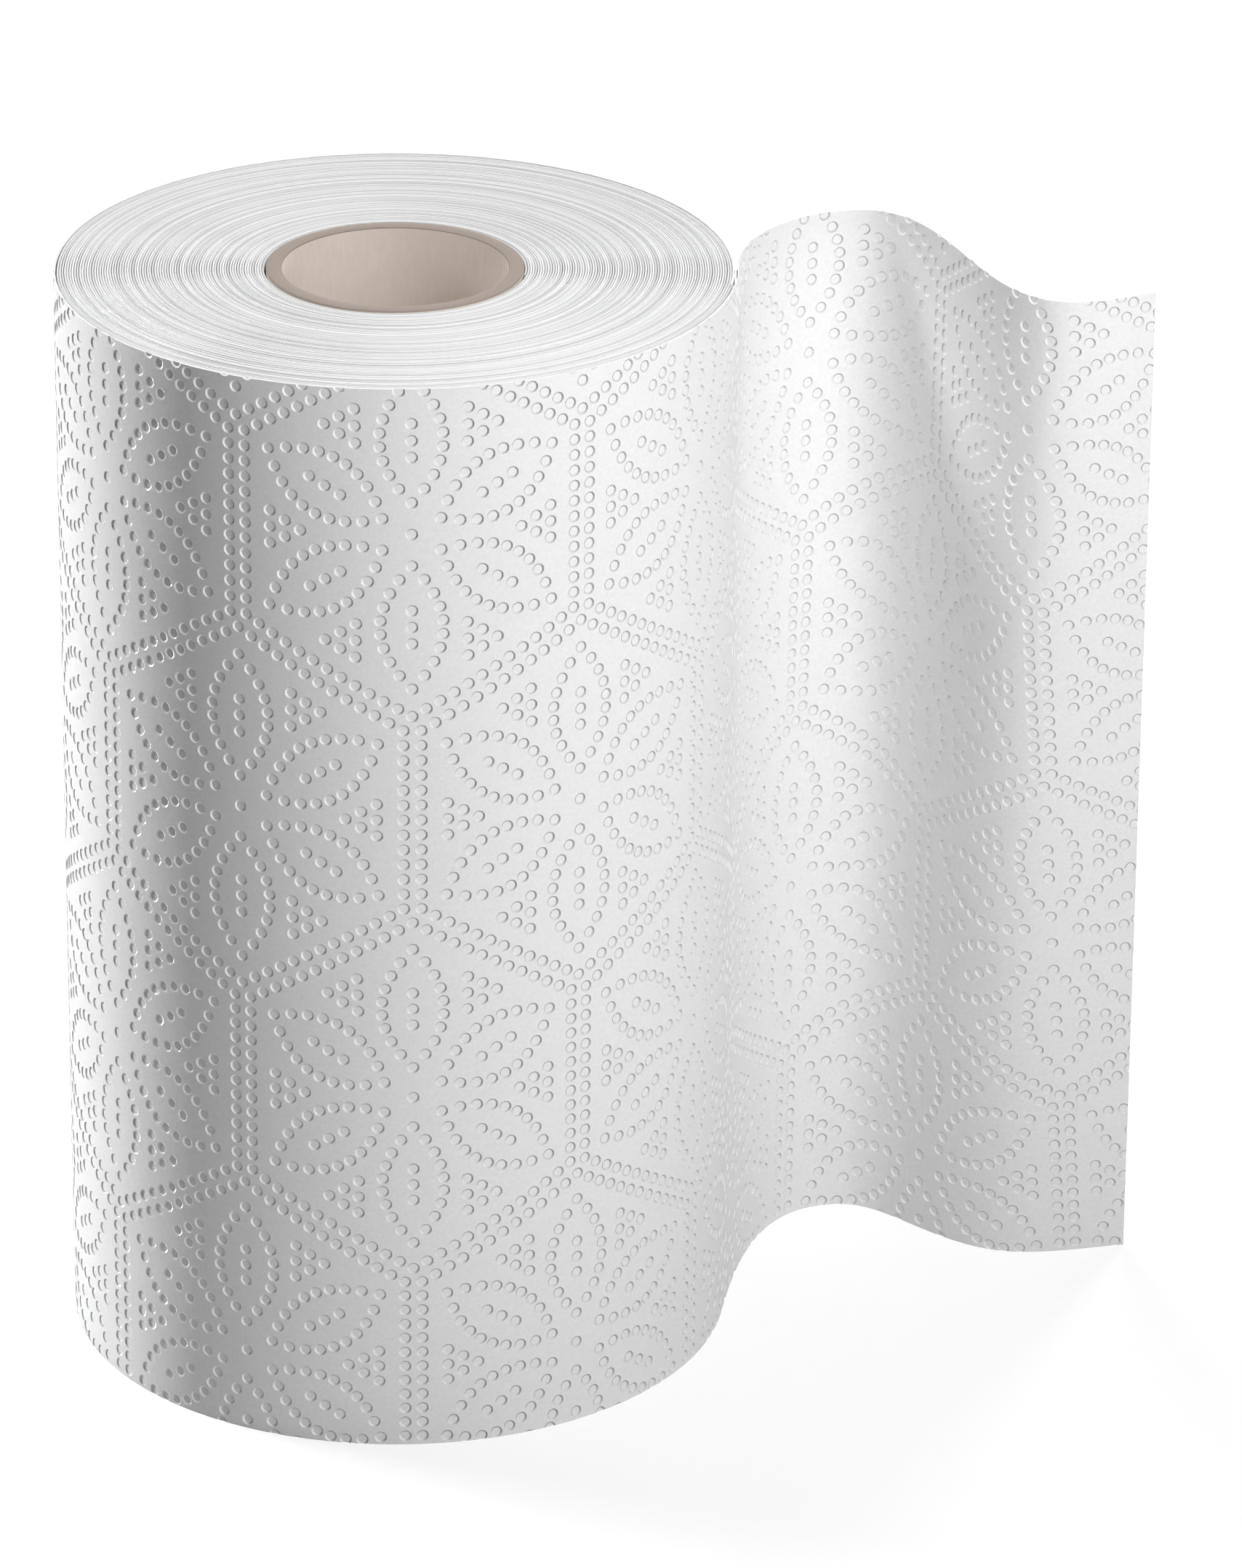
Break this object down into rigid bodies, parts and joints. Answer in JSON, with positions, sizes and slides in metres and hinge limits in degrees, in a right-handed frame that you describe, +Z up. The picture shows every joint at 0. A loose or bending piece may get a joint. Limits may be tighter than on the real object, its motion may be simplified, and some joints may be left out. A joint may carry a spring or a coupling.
{
  "type": "paper towel roll",
  "caption": "Roll of embossed white paper towel on an open cardboard tube, standing on one end, with the last sheet drawn out in a loose wave.",
  "frame": {"origin": "on the axis of the core, in the plane of the end face that the roll stands on", "axes": "+Z up along the roll's axis; the loose sheet leaves the roll at its +X side and ends free towards +X; -Y is the side that the picture is taken from"},
  "size_m": [0.2226, 0.1366, 0.23],
  "materials": {
    "towel_paper": "matte",
    "core_card": "matte"
  },
  "bodies": {
    "root": {"towel_web": "towel_paper", "core_tube": "core_card"}
  },
  "joints": []
}
